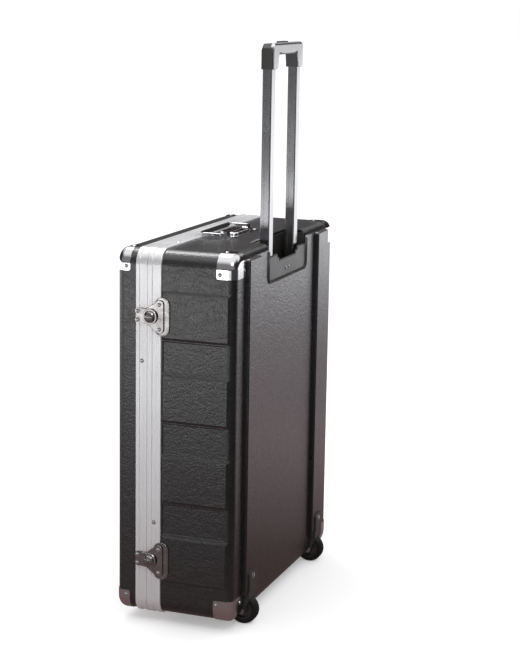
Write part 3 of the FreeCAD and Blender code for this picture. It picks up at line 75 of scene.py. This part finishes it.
class Graph:
    """A short way to build a node material around one Principled shader."""

    def __init__(self, name):
        self.material = bpy.data.materials.new(name)
        self.material.use_nodes = True
        self.tree = self.material.node_tree
        self.tree.nodes.clear()
        self.output = self.tree.nodes.new("ShaderNodeOutputMaterial")
        self.shader = self.tree.nodes.new("ShaderNodeBsdfPrincipled")
        self.link(self.shader.outputs[0], self.output.inputs["Surface"])
        self.coords = self.tree.nodes.new("ShaderNodeTexCoord").outputs["Object"]
        self.height = None

    def link(self, source, target):
        self.tree.links.new(source, target)

    def node(self, kind, inputs=None, **settings):
        return add_node(self.tree, kind, inputs, **settings)

    def set(self, **values):
        """Sets or links inputs of the shader, named with _ for each space."""
        for key, value in values.items():
            socket = self.shader.inputs[key.replace("_", " ")]
            if isinstance(value, bpy.types.NodeSocket):
                self.link(value, socket)
            else:
                socket.default_value = value

    def stretched(self, scale):
        mapping = self.node("ShaderNodeMapping", {"Vector": self.coords, "Scale": scale})
        return mapping.outputs[0]

    def noise(self, scale, detail=4.0, rough=0.55, vector=None, distortion=0.0):
        node = self.node("ShaderNodeTexNoise", {
            "Vector": vector or self.coords, "Scale": scale, "Detail": detail,
            "Roughness": rough, "Distortion": distortion})
        return node.outputs["Fac"]

    def voronoi(self, scale, feature="F1", vector=None):
        inputs = {"Vector": vector or self.coords, "Scale": scale, "Randomness": 1.0}
        if feature == "SMOOTH_F1":
            inputs["Smoothness"] = 0.5
        node = self.node("ShaderNodeTexVoronoi", inputs, feature=feature)
        return node.outputs["Distance"]

    def math(self, kind, a, b=0.0, clamp=False):
        node = self.node("ShaderNodeMath", {0: a, 1: b}, operation=kind, use_clamp=clamp)
        return node.outputs[0]

    def ramp(self, value, stops):
        node = self.node("ShaderNodeValToRGB", {"Fac": value})
        ramp = node.color_ramp
        while len(ramp.elements) < len(stops):
            ramp.elements.new(0.5)
        for element, (place, level) in zip(ramp.elements, stops):
            element.position = place
            element.color = colour(level)
        return node.outputs["Color"]

    def remap(self, value, low, high, to_low, to_high):
        node = self.node("ShaderNodeMapRange", {
            "Value": value, "From Min": low, "From Max": high, "To Min": to_low, "To Max": to_high})
        return node.outputs[0]

    def fade(self, value, limits):
        """0 at the first limit, 1 at the second, and a straight line between them."""
        return self.remap(value, limits[0], limits[1], 0.0, 1.0)

    def mix(self, factor, a, b):
        node = self.node("ShaderNodeMix", {0: factor, 6: a, 7: b}, data_type="RGBA")
        return node.outputs[2]

    def bump(self, height, distance, strength):
        """Adds relief; distance is in metres."""
        inputs = {"Height": height, "Distance": distance, "Strength": strength}
        if self.height is not None:
            inputs["Normal"] = self.height
        self.height = self.node("ShaderNodeBump", inputs).outputs[0]
        self.link(self.height, self.shader.inputs["Normal"])


def leather_plastic():
    """Black moulded plastic with a leather grain: pebbles, wrinkles and long creases under a glossy coat."""
    g = Graph("black_grained_plastic")
    bend = g.node("ShaderNodeTexNoise", {"Vector": g.coords, "Scale": 16.0, "Detail": 3.0}).outputs["Color"]
    bent = g.node("ShaderNodeMix", {0: 0.035, 4: g.coords, 5: bend}, data_type="VECTOR").outputs[1]
    pebbles = g.voronoi(260, "SMOOTH_F1", bent)
    long_creases = g.node("ShaderNodeMapping", {"Vector": bent, "Scale": (1.0, 1.0, 2.3)}).outputs[0]
    folds = g.voronoi(34, "DISTANCE_TO_EDGE", long_creases)
    fold_lines = g.remap(folds, 0.0, 0.13, 0.0, 1.0)
    wrinkles = g.noise(46, detail=5, rough=0.62, vector=long_creases, distortion=0.9)
    fine = g.noise(700, detail=2)
    clouds = g.noise(5.5, detail=5, rough=0.6)
    tone = g.ramp(clouds, [(0.25, (0.0045, 0.0042, 0.0043)), (0.75, (0.0095, 0.0088, 0.0090))])
    # the crease lines are painted darker than the grain around them: painted shade in the creases
    crease_shaded = g.mix(fold_lines, colour((0.004, 0.004, 0.004)), tone)
    g.set(Base_Color=crease_shaded, Specular_IOR_Level=0.9, Coat_Weight=0.55, Coat_Roughness=0.22, Coat_IOR=1.6)
    g.set(Roughness=g.remap(wrinkles, 0.3, 0.7, 0.27, 0.38))
    g.bump(wrinkles, distance=0.0008, strength=0.50)
    g.bump(fold_lines, distance=0.00012, strength=0.50)
    g.bump(pebbles, distance=0.0006, strength=0.45)
    g.bump(fine, distance=0.00010, strength=0.5)
    g.link(g.height, g.shader.inputs["Coat Normal"])
    return g.material


def brushed(name, base, roughness, stretch, streak=0.10, metal=1.0):
    """Satin metal. Streaks run along the axis where stretch is smallest; three equal values give none."""
    g = Graph(name)
    lines = g.noise(260, rough=0.6, vector=g.stretched(stretch))
    blotches = g.noise(7)
    g.set(Base_Color=g.mix(lines, colour(scaled(base, 1 - streak)), colour(base)), Metallic=metal)
    g.set(Roughness=g.remap(blotches, 0.3, 0.7, roughness * 0.85, roughness * 1.2))
    g.bump(lines, distance=0.00001, strength=0.5)
    return g.material


def chrome(name, base, roughness):
    """Bright plating with shallow dents, a patchy haze and fine scuffs."""
    g = Graph(name)
    haze = g.noise(60, detail=5)
    dents = g.noise(28, detail=2)
    scuffs = g.noise(420, detail=3, rough=0.7, vector=g.stretched((1.0, 5.0, 1.6)))
    g.set(Base_Color=g.ramp(haze, [(0.3, scaled(base, 0.93)), (0.7, base)]), Metallic=1.0)
    g.set(Roughness=g.remap(haze, 0.3, 0.75, roughness * 0.6, roughness * 1.7))
    g.bump(dents, distance=0.00035, strength=0.4)
    g.bump(scuffs, distance=0.00001, strength=0.6)
    return g.material


def moulded(name, base, roughness, grain=0.00006, gloss=0.45):
    """Black plastic, rubber or covered board with a fine texture."""
    g = Graph(name)
    speckle = g.noise(1400, detail=3)
    cloud = g.noise(18)
    g.set(Base_Color=g.ramp(cloud, [(0.3, scaled(base, 0.8)), (0.7, scaled(base, 1.2))]))
    g.set(Roughness=g.remap(cloud, 0.3, 0.7, roughness * 0.9, roughness * 1.12), Specular_IOR_Level=gloss)
    g.bump(speckle, distance=grain, strength=0.6)
    return g.material


def foam_material(name, base):
    """Open-cell foam: tiny pores and a soft broken surface."""
    g = Graph(name)
    pores = g.voronoi(1500)
    lumps = g.noise(260)
    # the pores are painted darker at their middles: painted shade inside the pores
    tone = g.ramp(pores, [(0.05, scaled(base, 0.35)), (0.5, base)])
    g.set(Base_Color=tone, Roughness=0.95, Specular_IOR_Level=0.15)
    g.bump(pores, distance=0.0005, strength=0.7)
    g.bump(lumps, distance=0.0008, strength=0.4)
    return g.material


MATERIALS = {
    "black_shell": leather_plastic(),
    "rim_aluminium": brushed(
        "satin_rim", (0.90, 0.90, 0.90), roughness=0.36, stretch=(30.0, 30.0, 1.2), streak=0.05, metal=0.72),
    "gasket": moulded("gasket_rubber", (0.012, 0.012, 0.012), roughness=0.7),
    "chrome": chrome("polished_chrome", (0.80, 0.80, 0.81), roughness=0.12),
    "latch_steel": chrome("nickel_plate", (0.40, 0.385, 0.375), roughness=0.20),
    "moulded_black": moulded("moulded_black_plastic", (0.030, 0.0285, 0.0262), roughness=0.36, gloss=0.75),
    "steel": brushed("zinc_steel", (0.55, 0.55, 0.57), roughness=0.35, stretch=(6.0, 6.0, 6.0)),
    "tube_silver": brushed("satin_tube", (0.50, 0.50, 0.51), roughness=0.22, stretch=(60.0, 60.0, 0.8)),
    "fascia_silver": brushed(
        "silver_fascia", (0.62, 0.62, 0.63), roughness=0.30, stretch=(0.8, 40.0, 40.0), streak=0.06),
    "rubber_black": moulded("black_rubber", (0.010, 0.010, 0.010), roughness=0.62, grain=0.0001, gloss=0.35),
    "tyre_black": moulded("black_tyre", (0.006, 0.006, 0.006), roughness=0.50, grain=0.00008, gloss=0.4),
    "foam": foam_material("charcoal_foam", (0.030, 0.030, 0.032)),
    "board": moulded("covered_board", (0.020, 0.020, 0.020), roughness=0.8),
}

SLOT_OF = {part["node"]: part["material_slot"] for part in frame["record"]["subparts"]}
for node_name, node in frame["nodes"].items():
    node.data.materials.clear()
    node.data.materials.append(MATERIALS[SLOT_OF[node_name]])

# ---------------------------------------------------------------- mesh helpers


def new_piece(name, mesh_maker, slot_name, body):
    """A piece of the object, built by mesh_maker(bmesh), with a slot's material, riding on a body."""
    mesh = bpy.data.meshes.new(name)
    bm = bmesh.new()
    mesh_maker(bm)
    bmesh.ops.recalc_face_normals(bm, faces=bm.faces)
    bm.to_mesh(mesh)
    bm.free()
    mesh.materials.append(MATERIALS[slot_name])
    for face in mesh.polygons:
        face.use_smooth = True
    thing = bpy.data.objects.new(name, mesh)
    bpy.context.scene.collection.objects.link(thing)
    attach(thing, body)
    return thing


def join_rings(bm, rings):
    """Joins closed rings of points one after another, and caps the first and the last."""
    count = len(rings[0])
    for first, second in zip(rings, rings[1:]):
        for k in range(count):
            bm.faces.new((first[k], first[(k + 1) % count], second[(k + 1) % count], second[k]))
    bm.faces.new(rings[0])
    bm.faces.new(list(reversed(rings[-1])))


def sweep(bm, path, section, up):
    """Runs a closed section, given as (across, up) offsets, down an open path, with its ends capped."""
    least_facing = 0.3
    longest_miter = 1.6
    rings = []
    for k, point in enumerate(path):
        before = path[max(k - 1, 0)]
        after = path[min(k + 1, len(path) - 1)]
        ahead = (after - before).normalized()
        across = ahead.cross(up).normalized()
        into = (point - before).normalized() if k else ahead
        miter = min(1.0 / max(abs(into.dot(ahead)), least_facing), longest_miter)
        rings.append([bm.verts.new(point + across * (a * miter) + up * b) for a, b in section])
    join_rings(bm, rings)


def round_section(radius, tall, steps):
    """A circle of points, stretched by tall in its second direction."""
    turn = 2 * math.pi / steps
    return [(radius * math.cos(k * turn), radius * tall * math.sin(k * turn)) for k in range(steps)]


def rounded_path(corners, radius, steps=6):
    """Straight runs between the corners, each inner corner rounded off."""
    runs_per_bend = 2.1
    path = [corners[0]]
    for before, corner, after in zip(corners, corners[1:], corners[2:]):
        back_way = (before - corner).normalized()
        on_way = (after - corner).normalized()
        shorter_run = min((before - corner).length, (after - corner).length)
        reach = min(radius, shorter_run / runs_per_bend)
        start, end = corner + back_way * reach, corner + on_way * reach
        for k in range(steps + 1):
            t = k / steps
            path.append(start * (1 - t) ** 2 + corner * (2 * t * (1 - t)) + end * t ** 2)
    path.append(corners[-1])
    return path


def rounded_slab(bm, low, high, radius, steps):
    """A box with all its edges rounded."""
    verts = bmesh.ops.create_cube(bm, size=1.0)["verts"]
    bmesh.ops.scale(bm, vec=high - low, verts=verts)
    bmesh.ops.translate(bm, vec=(low + high) / 2, verts=verts)
    edges = list({edge for vert in verts for edge in vert.link_edges})
    bmesh.ops.bevel(bm, geom=edges, offset=radius, segments=steps, profile=0.5, affect="EDGES")


# ---------------------------------------------------------------- beads round the trolley recess

OUT = Vector((0.0, 1.0, 0.0))  # out of the face that the trolley is set into
bezel_low, bezel_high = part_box("trolley_bezel")
rim_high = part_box("base_rim")[1]
middle_x = (bezel_low.x + bezel_high.x) / 2
half_recess = (bezel_high.x - bezel_low.x) / 2


def recess_bead(bm):
    """The moulded lip that follows the sides and the lower edge of the recess."""
    gap = 0.0006
    proud = 0.0004
    below_rim = 0.019
    bend = 0.011
    reach = half_recess + gap
    foot = bezel_low.z - gap
    top = rim_high.z - below_rim
    face = bezel_high.y + proud
    ledge = [
        (-0.0008, -0.0012), (-0.0008, 0.0000), (0.0002, 0.0006), (0.0030, 0.0028), (0.0040, 0.0032),
        (0.0048, 0.0028), (0.0054, 0.0018), (0.0058, 0.0000), (0.0058, -0.0012),
    ]
    right, left = middle_x + reach, middle_x - reach
    corners = [Vector((x, face, z)) for x, z in ((right, top), (right, foot), (left, foot), (left, top))]
    sweep(bm, rounded_path(corners, bend), ledge, OUT)


def notch_bead(bm):
    """The rolled upper edge of the bezel, down into the finger notch and up again."""
    proud = 0.0002
    face = (bezel_low.y + bezel_high.y) / 2 + proud
    half = (bezel_high.y - bezel_low.y) / 2
    radius = 0.0017
    bend = 0.0022
    overlap = 1.15
    # heights, and distances either side of the middle
    top = bezel_high.z
    shoulder = top - 0.007
    floor = bezel_low.z + 0.0336
    end = half_recess - 0.0015
    notch = 0.053
    step = notch + 0.009
    floor_end = notch - 0.003
    half_line = [(end, top), (step, top), (step, shoulder), (notch, shoulder), (floor_end, floor)]
    line = half_line + [(-x, z) for x, z in reversed(half_line)]
    corners = [Vector((middle_x + x, face, z)) for x, z in line]
    section = round_section(radius, half / radius * overlap, 12)
    sweep(bm, rounded_path(corners, bend, 4), section, OUT)


new_piece("recess_lip", recess_bead, "moulded_black", "case_base")
new_piece("bezel_rolled_edge", notch_bead, "moulded_black", "case_base")

# ---------------------------------------------------------------- foam linings


def make_lid_foam():
    """Convoluted foam: a sheet whose inner face rises and falls in soft peaks."""
    low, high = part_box("lid_foam")
    pitch = 0.036
    peak = 0.0095
    margin = 0.006
    sunk = 0.0004
    soft = 0.004
    fade_rows = 3.0
    across, along = 132, 164
    turn = 2 * math.pi / pitch

    def build(bm):
        rounded_slab(bm, low, Vector((high.x, high.y - peak, high.z)), soft, 3)
        rows = []
        for i in range(across + 1):
            column = []
            x = low.x + margin + (high.x - low.x - 2 * margin) * i / across
            for k in range(along + 1):
                z = low.z + margin + (high.z - low.z - 2 * margin) * k / along
                wave = math.cos(turn * (x - low.x)) * math.cos(turn * (z - low.z))
                edge = min(i, across - i, k, along - k)
                rise = (0.5 + 0.5 * wave) * peak * min(edge / fade_rows, 1.0)
                column.append(bm.verts.new((x, high.y - peak - sunk + rise, z)))
            rows.append(column)
        for first, second in zip(rows, rows[1:]):
            for k in range(along):
                bm.faces.new((first[k], first[k + 1], second[k + 1], second[k]))

    foam = new_piece("lid_foam_convoluted", build, "foam", "case_lid")
    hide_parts("lid_foam")


def corner_ring(low, high, inset, radius, steps=7):
    """Points (x, z) round a rectangle with rounded corners, set in by inset."""
    least_radius = 0.005
    x0, x1 = low.x + inset, high.x - inset
    z0, z1 = low.z + inset, high.z - inset
    r = max(radius - inset, least_radius)
    middles = [(x1 - r, z0 + r), (x1 - r, z1 - r), (x0 + r, z1 - r), (x0 + r, z0 + r)]
    points = []
    for quarter, (cx, cz) in enumerate(middles):
        for k in range(steps + 1):
            angle = math.pi / 2 * (quarter - 1 + k / steps)
            points.append((cx + r * math.cos(angle), cz + r * math.sin(angle)))
    return points


def make_base_foam():
    """The tray of foam in the base: a floor and a wall all round, with soft edges and round corners."""
    low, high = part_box("base_foam")
    wall = 0.0145
    floor = 0.014
    corner = 0.0215
    clear = 0.0003
    soft = 0.0045
    turn = soft * 0.3
    rim, bottom, inside = low.y, high.y, high.y - floor
    # (set in from the outline, level): up the outside, over the rim and down to the floor of the tray
    profile = [
        (soft, bottom), (turn, bottom - turn), (clear, bottom - soft),
        (clear, rim + soft), (turn, rim + turn), (soft, rim),
        (wall - soft, rim), (wall - turn, rim + turn), (wall, rim + soft),
        (wall, inside - soft), (wall + turn, inside - turn), (wall + soft, inside),
    ]

    def build(bm):
        rings = []
        for inset, level in profile:
            rings.append([bm.verts.new((x, level, z)) for x, z in corner_ring(low, high, inset, corner)])
        join_rings(bm, rings)

    foam = new_piece("base_foam_tray", build, "foam", "case_base")
    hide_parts("base_foam")


make_lid_foam()
make_base_foam()

# ---------------------------------------------------------------- stage, light and camera


# To the camera, floor and room are white. From here to CEILING is what reflections see of them instead.
# For reflections the floor is a painted reflection, given as (metres from the middle of the case, colour):
# the first list is in front of the case, on the latch side, and the second is behind it, on the hinge side.
# Both lists are painted dim near the case, which is painted shade of the case on the floor, with painted
# light further out.
PAINTED_FLOOR_FRONT = [
    (0.30, (0.150, 0.098, 0.098)),
    (0.48, (0.175, 0.128, 0.130)),
    (0.80, (0.205, 0.168, 0.172)),
    (1.50, (0.26, 0.24, 0.25)),
    (2.60, (0.43, 0.42, 0.45)),
    (3.60, (1.45, 1.44, 1.47)),
]
PAINTED_FLOOR_BEHIND = [
    (0.30, (0.17, 0.120, 0.120)),
    (0.66, (0.27, 0.205, 0.210)),
    (1.26, (0.45, 0.370, 0.380)),
    (2.30, (0.40, 0.340, 0.355)),
    (3.70, (0.47, 0.460, 0.490)),
    (4.80, (1.75, 1.750, 1.800)),
]
REACH = 5.0  # metres, the far end of both colour ramps
BEHIND = (-0.1, -0.4)  # metres along x, where PAINTED_FLOOR_BEHIND takes over
FRONT_EDGE = (4.7, 5.3)  # metres along x, where the paper ends in front
SIDE_EDGE = (0.45, 0.80)  # metres from the middle of the case, where it ends on the trolley side
SIDE_START = (0.20, 0.50)  # headings in radians, between which that side starts
SIDE_END = (2.3, 1.9)  # and ends
BEYOND = (0.055, 0.054, 0.060)  # the floor past the edge of the paper
ROOM = (0.030, 0.022, 0.022)  # the room near the horizon
FRONT = (0.22, 0.22, 0.23)  # the room on the latch side
BACKDROP = (1.05, 1.05, 1.08)  # a sheet on the hinge side, from about 20 degrees up
CEILING = (1.05, 1.05, 1.07)

WHITE = (1.0, 1.0, 1.0)
ROOM_LIGHT = (0.95, 0.95, 0.97)  # the light that falls on matt surfaces from all sides
FLOOR_LIFT = 0.30  # what is added to the floor so that it is white to the camera


def make_floor():
    """A pale floor. Reflections see a painted reflection of studio paper instead: warm and painted dim by
    the case, a painted shade, bright further out, with the dark room beyond its edges."""
    size = 40.0
    mesh = bpy.data.meshes.new("floor")
    corners = [(-size, -size, 0), (size, -size, 0), (size, size, 0), (-size, size, 0)]
    mesh.from_pydata(corners, [], [(0, 1, 2, 3)])
    floor = bpy.data.objects.new("floor", mesh)
    bpy.context.scene.collection.objects.link(floor)
    g = Graph("pale_floor")
    g.set(Base_Color=colour((0.90, 0.90, 0.90)), Roughness=0.8, Specular_IOR_Level=0.2)
    place = g.node("ShaderNodeSeparateXYZ", {0: g.coords})
    x, y = place.outputs[0], place.outputs[1]
    distance = g.node("ShaderNodeVectorMath", {0: g.coords}, operation="LENGTH").outputs["Value"]
    share = g.math("DIVIDE", distance, REACH)
    # painted reflection of the floor: painted shade near the case, painted light further out
    paper = g.ramp(share, [(far / REACH, tone) for far, tone in PAINTED_FLOOR_FRONT])
    rear_paper = g.ramp(share, [(far / REACH, tone) for far, tone in PAINTED_FLOOR_BEHIND])
    past_front = g.fade(x, FRONT_EDGE)
    heading = g.math("ARCTAN2", y, x)
    trolley_side = g.math("MULTIPLY", g.fade(heading, SIDE_START), g.fade(heading, SIDE_END))
    past_side = g.math("MULTIPLY", trolley_side, g.fade(distance, SIDE_EDGE))
    edge = g.math("MAXIMUM", past_front, past_side, clamp=True)
    paper = g.mix(g.fade(x, BEHIND), paper, rear_paper)
    painted_floor_reflection = g.mix(edge, paper, colour(BEYOND))
    path = g.node("ShaderNodeLightPath")
    # the painted reflection: for reflections only, the floor glows with these painted colours, though it is
    # no lamp
    painted_reflection = g.node("ShaderNodeEmission", {"Color": painted_floor_reflection, "Strength": 1.0})
    lift = g.node("ShaderNodeEmission", {"Color": colour(WHITE), "Strength": FLOOR_LIFT})
    lit = g.node("ShaderNodeAddShader", {0: g.shader.outputs[0], 1: lift.outputs[0]})
    direct = g.node("ShaderNodeMixShader", {
        0: path.outputs["Is Camera Ray"], 1: g.shader.outputs[0], 2: lit.outputs[0]})
    both = g.node("ShaderNodeMixShader", {
        0: path.outputs["Is Glossy Ray"], 1: direct.outputs[0], 2: painted_reflection.outputs[0]})
    g.link(both.outputs[0], g.output.inputs["Surface"])
    floor.data.materials.append(g.material)


def area_light(name, place, target, width, height, power):
    """A soft rectangular light, in metres and watts, turned towards target."""
    light = bpy.data.lights.new(name, "AREA")
    light.shape = "RECTANGLE"
    light.size = width
    light.size_y = height
    light.energy = power
    thing = bpy.data.objects.new(name, light)
    thing.location = place
    thing.rotation_euler = (Vector(target) - Vector(place)).to_track_quat("-Z", "Y").to_euler()
    bpy.context.scene.collection.objects.link(thing)


def make_world():
    """An even white room for the light. Reflections see a dim room with a backdrop and a bright ceiling."""
    world = bpy.data.worlds.new("studio")
    world.use_nodes = True
    tree = world.node_tree
    tree.nodes.clear()

    def ease(value, start, end):
        """0 up to start, 1 from end on, and smooth between them."""
        inputs = {"Value": value, "From Min": start, "From Max": end, "To Min": 0.0, "To Max": 1.0}
        return add_node(tree, "ShaderNodeMapRange", inputs, interpolation_type="SMOOTHSTEP").outputs[0]

    def blend(factor, first, second):
        return add_node(tree, "ShaderNodeMix", {0: factor, 6: first, 7: second}, data_type="RGBA").outputs[2]

    generated = add_node(tree, "ShaderNodeTexCoord").outputs["Generated"]
    direction = add_node(tree, "ShaderNodeSeparateXYZ", {0: generated})
    along_x, rise = direction.outputs[0], direction.outputs[2]
    on_hinge_side = ease(along_x, -0.25, -0.6)
    above_horizon = ease(rise, 0.32, 0.46)
    both = {0: on_hinge_side, 1: above_horizon}
    sheet = add_node(tree, "ShaderNodeMath", both, operation="MULTIPLY").outputs[0]
    room = blend(ease(along_x, 0.2, 0.7), colour(ROOM), colour(FRONT))
    room = blend(sheet, room, colour(BACKDROP))
    room = blend(ease(rise, 0.50, 0.88), room, colour(CEILING))
    path = add_node(tree, "ShaderNodeLightPath")
    seen = blend(path.outputs["Is Diffuse Ray"], room, colour(ROOM_LIGHT))
    seen = blend(path.outputs["Is Camera Ray"], seen, colour(WHITE))
    background = add_node(tree, "ShaderNodeBackground", {"Color": seen, "Strength": 1.0})
    output = add_node(tree, "ShaderNodeOutputWorld")
    tree.links.new(background.outputs[0], output.inputs[0])
    bpy.context.scene.world = world
    bpy.context.scene.view_settings.view_transform = "Standard"


def make_camera():
    """The photo's viewpoint: its place in metres, and how the view is turned."""
    azimuth, elevation, roll = (math.radians(a) for a in (110.18, 11.19, 0.93))
    place = Vector((3.21303, 1.23760, 1.24555))
    back = Vector((
        math.sin(azimuth) * math.cos(elevation),
        -math.cos(azimuth) * math.cos(elevation),
        math.sin(elevation),
    ))
    level = Vector((math.cos(azimuth), math.sin(azimuth), 0.0))
    upright = back.cross(level)
    right = level * math.cos(roll) + upright * math.sin(roll)
    up = upright * math.cos(roll) - level * math.sin(roll)
    camera = bpy.data.cameras.new("camera")
    camera.lens = 93.21
    camera.sensor_width = 36.0
    thing = bpy.data.objects.new("camera", camera)
    turn = Matrix((right, up, back)).transposed()
    thing.matrix_world = Matrix.Translation(place) @ turn.to_4x4()
    bpy.context.scene.collection.objects.link(thing)
    bpy.context.scene.camera = thing


make_floor()
make_world()
make_camera()
area_light("key", place=(2.4, 1.7, 2.9), target=(0.1, 0.0, 0.5), width=1.0, height=1.0, power=26)
area_light("low_strip", place=(3.0, -1.12, 0.22), target=(0.3, 0.0, 0.70), width=1.1, height=0.3, power=2.2)
area_light("top", place=(-0.8, -0.9, 2.9), target=(0.0, 0.0, 0.6), width=1.0, height=1.0, power=16)

# ---------------------------------------------------------------- the end

bpy.context.view_layer.update()
